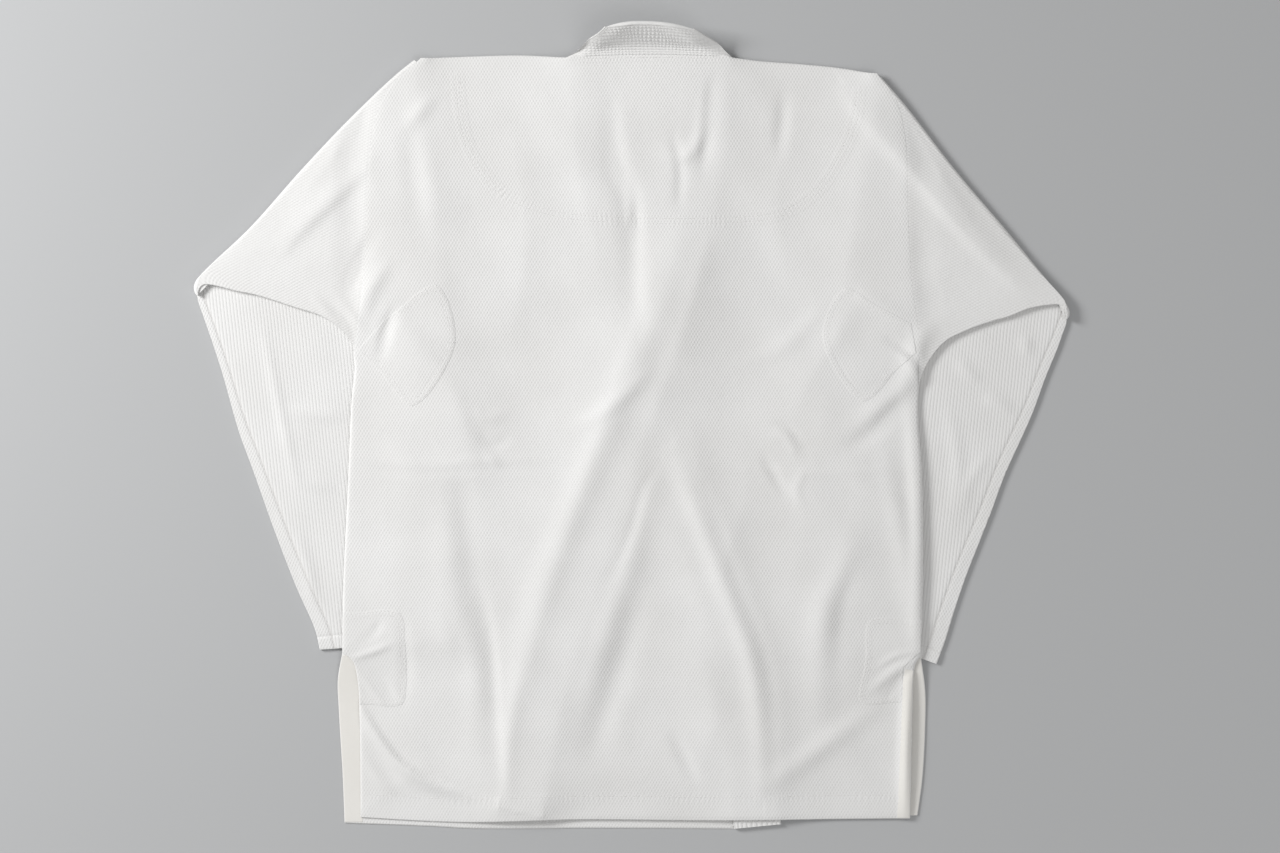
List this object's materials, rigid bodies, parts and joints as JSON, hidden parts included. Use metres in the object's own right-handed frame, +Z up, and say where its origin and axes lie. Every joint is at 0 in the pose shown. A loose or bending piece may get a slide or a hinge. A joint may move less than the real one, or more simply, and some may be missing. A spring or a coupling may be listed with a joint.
{
  "type": "jiu-jitsu gi jacket",
  "caption": "Wrap jacket of white woven cotton with a stiff stitched collar band, laid flat on its front with both sleeves folded under it.",
  "frame": {"origin": "middle of the underside, on the surface that the jacket lies on", "axes": "+Z up, away from that surface; +Y from the hem to the collar; +X from the wearer's left to the wearer's right"},
  "size_m": [0.912, 0.8428, 0.0458],
  "materials": {
    "pearl_weave": "white cotton pearl weave, matt, with small staggered grains",
    "ribbed_weave": "white cotton with fine ribs along the sleeve, matt",
    "collar_twill": "white cotton twill, matt, with close rows of stitches",
    "vent_tape": "smooth cream cotton tape"
  },
  "bodies": {
    "root": {"back_panel": "pearl_weave", "front_left": "pearl_weave", "front_right": "pearl_weave", "sleeve_left": "ribbed_weave", "sleeve_right": "ribbed_weave", "collar_band": "collar_twill", "armpit_patch_left": "pearl_weave", "armpit_patch_right": "pearl_weave", "vent_patch_left": "pearl_weave", "vent_patch_right": "pearl_weave", "vent_tape_back_right": "vent_tape", "vent_tape_front_left": "vent_tape", "vent_tape_front_right": "vent_tape"}
  },
  "joints": []
}
